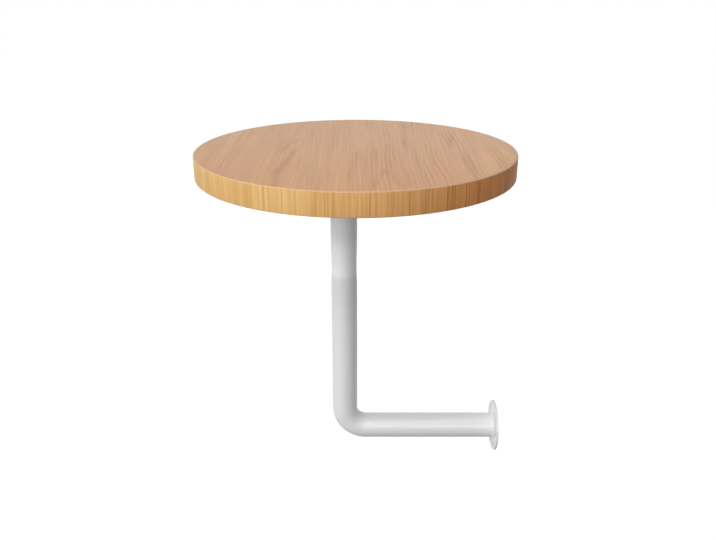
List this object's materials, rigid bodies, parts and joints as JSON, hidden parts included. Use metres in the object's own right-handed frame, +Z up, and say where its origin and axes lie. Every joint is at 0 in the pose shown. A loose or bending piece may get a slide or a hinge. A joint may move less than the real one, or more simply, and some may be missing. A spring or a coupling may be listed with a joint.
{
  "type": "round wall table",
  "caption": "Small round wood-look table top on a painted steel pipe post that bends back to a round wall flange, so the wall carries it and the floor stays free.",
  "frame": {"origin": "centre of the wall flange's back face, on the axis of the arm", "axes": "+X along the arm into the wall, +Z up towards the top, +Y to the left of someone who faces the wall"},
  "size_m": [0.401, 0.4, 0.4415],
  "materials": {
    "oak_face": "matt oak decor",
    "oak_edge": "satin oak band",
    "particle_core": "raw board",
    "backing_sheet": "matt",
    "grey_paint": "satin light grey",
    "zinc_steel": "bright zinc",
    "bare_steel": "bare",
    "insert_metal": "plain"
  },
  "bodies": {
    "root": {"top_laminate": "oak_face", "core_board": "particle_core", "backing_laminate": "backing_sheet", "edge_band": "oak_edge", "threaded_inserts": "insert_metal", "top_plate": "grey_paint", "plate_washers": "zinc_steel", "plate_screws": "zinc_steel", "plate_weld": "grey_paint", "upper_post": "grey_paint", "joint_weld": "grey_paint", "lower_post": "grey_paint", "joint_sleeve": "bare_steel", "elbow": "grey_paint", "elbow_welds": "grey_paint", "arm_tube": "grey_paint", "flange_weld": "grey_paint", "wall_flange": "grey_paint"}
  },
  "joints": []
}
